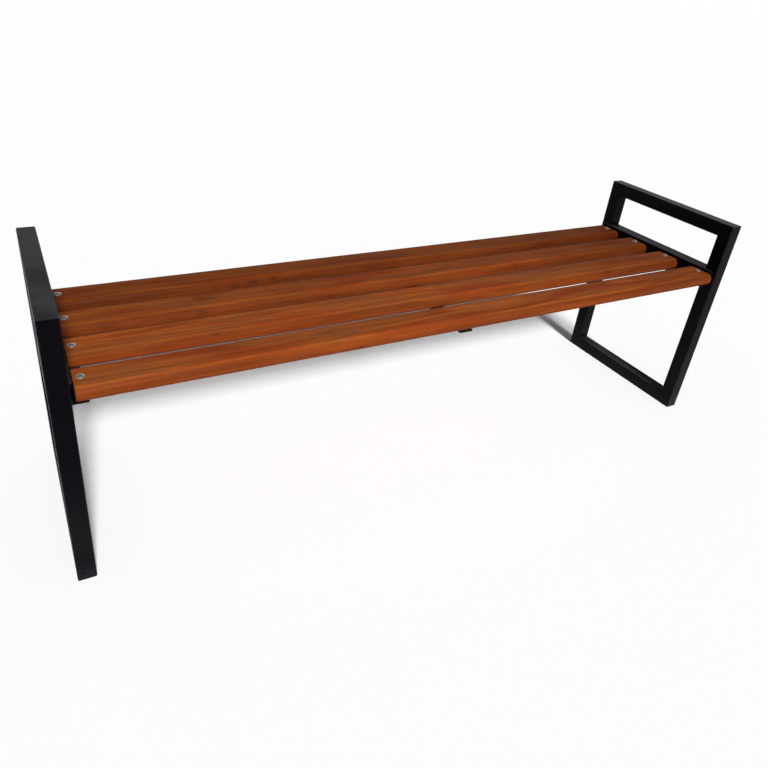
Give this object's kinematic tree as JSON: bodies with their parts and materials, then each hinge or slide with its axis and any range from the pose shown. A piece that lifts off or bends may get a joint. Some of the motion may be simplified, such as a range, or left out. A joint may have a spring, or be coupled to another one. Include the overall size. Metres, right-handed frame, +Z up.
{
  "type": "backless garden bench",
  "caption": "Backless slatted garden bench: stained planks with rounded edges bolted between closed square-tube end frames that rise above the seat as low armrests.",
  "frame": {"origin": "on the floor, under the middle of the seat", "axes": "+X along the seat, to the right as seen from the front, +Y to the rear, +Z up"},
  "size_m": [1.8, 0.445, 0.605],
  "materials": {
    "planks": "reddish-brown translucent stain under a satin varnish",
    "frame": "black powder coat, satin with a fine orange peel",
    "fasteners": "bright zinc plating"
  },
  "bodies": {
    "root": {"seat_plank_1": "planks", "seat_plank_2": "planks", "seat_plank_3": "planks", "seat_plank_4": "planks", "left_front_upright": "frame", "left_rear_upright": "frame", "left_top_rail": "frame", "left_bottom_rail": "frame", "left_crossbar": "frame", "left_support_angle": "frame", "right_front_upright": "frame", "right_rear_upright": "frame", "right_top_rail": "frame", "right_bottom_rail": "frame", "right_crossbar": "frame", "right_support_angle": "frame", "middle_brace": "frame", "left_bolt_1": "fasteners", "left_bolt_2": "fasteners", "left_bolt_3": "fasteners", "left_bolt_4": "fasteners", "left_washer_1": "fasteners", "left_washer_2": "fasteners", "left_washer_3": "fasteners", "left_washer_4": "fasteners", "left_nut_1": "fasteners", "left_nut_2": "fasteners", "left_nut_3": "fasteners", "left_nut_4": "fasteners", "right_bolt_1": "fasteners", "right_bolt_2": "fasteners", "right_bolt_3": "fasteners", "right_bolt_4": "fasteners", "right_washer_1": "fasteners", "right_washer_2": "fasteners", "right_washer_3": "fasteners", "right_washer_4": "fasteners", "right_nut_1": "fasteners", "right_nut_2": "fasteners", "right_nut_3": "fasteners", "right_nut_4": "fasteners", "brace_screw_1": "fasteners", "brace_screw_2": "fasteners", "brace_screw_3": "fasteners", "brace_screw_4": "fasteners"}
  },
  "joints": []
}
